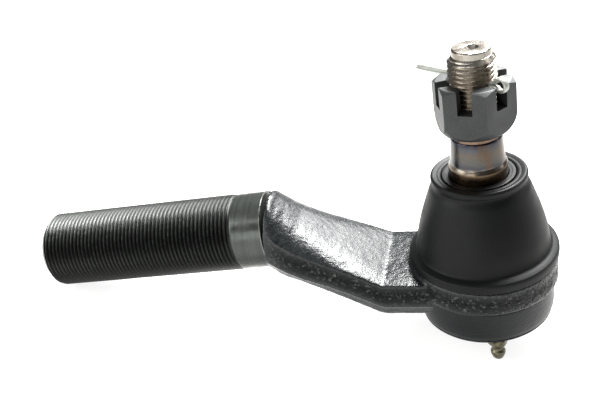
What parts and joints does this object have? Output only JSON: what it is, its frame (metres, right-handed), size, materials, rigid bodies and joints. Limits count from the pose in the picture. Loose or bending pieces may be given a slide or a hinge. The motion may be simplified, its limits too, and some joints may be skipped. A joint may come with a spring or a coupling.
{
  "type": "tie rod end",
  "caption": "Heavy tie rod end: forged offset arm with an externally threaded shank, sealed ball joint with rubber boot, castle nut, cotter pin and grease fitting.",
  "frame": {"origin": "on the stud's axis at the large end of its taper", "axes": "+Z along the ball stud towards its threaded end; the threaded shank runs towards -X and droops 4.64 degrees"},
  "size_m": [0.2454, 0.0658, 0.1389],
  "materials": {
    "black_paint": "gloss",
    "tempered_steel": "turned, heat tinted",
    "acetal": "moulded",
    "pressed_steel": "satin",
    "spring_steel": "satin",
    "dark_satin_steel": "satin",
    "rubber": "matte",
    "dark_nut_steel": "phosphated",
    "zinc_wire": "bright zinc",
    "yellow_zinc": "yellow passivated zinc",
    "bearing_steel": "polished"
  },
  "bodies": {
    "forging": {"forged_body": "black_paint", "end_cover": "dark_satin_steel", "spring_seat": "pressed_steel", "preload_spring": "spring_steel", "boot_base_ring": "pressed_steel", "grease_fitting_body": "yellow_zinc", "grease_fitting_ball": "bearing_steel", "grease_fitting_spring": "spring_steel"},
    "socket": {"upper_bearing": "acetal", "lower_bearing": "acetal", "dust_boot": "rubber"},
    "collar": {"boot_collar_ring": "rubber"},
    "stud": {"ball_stud": "tempered_steel", "castle_nut": "dark_nut_steel", "cotter_pin": "zinc_wire"}
  },
  "joints": [
    {"name": "azimuth", "type": "hinge", "parent": "forging", "child": "socket", "pos_m": [0, 0, -0.0525], "axis": [0, 0, 1], "continuous": true},
    {"name": "swing", "type": "hinge", "parent": "socket", "child": "collar", "pos_m": [0, 0, -0.0525], "axis": [1, 0, 0], "range_deg": [-20, 20], "deforming": ["dust_boot"]},
    {"name": "spin", "type": "hinge", "parent": "collar", "child": "stud", "pos_m": [0, 0, -0.0525], "axis": [0, 0, 1], "continuous": true}
  ]
}
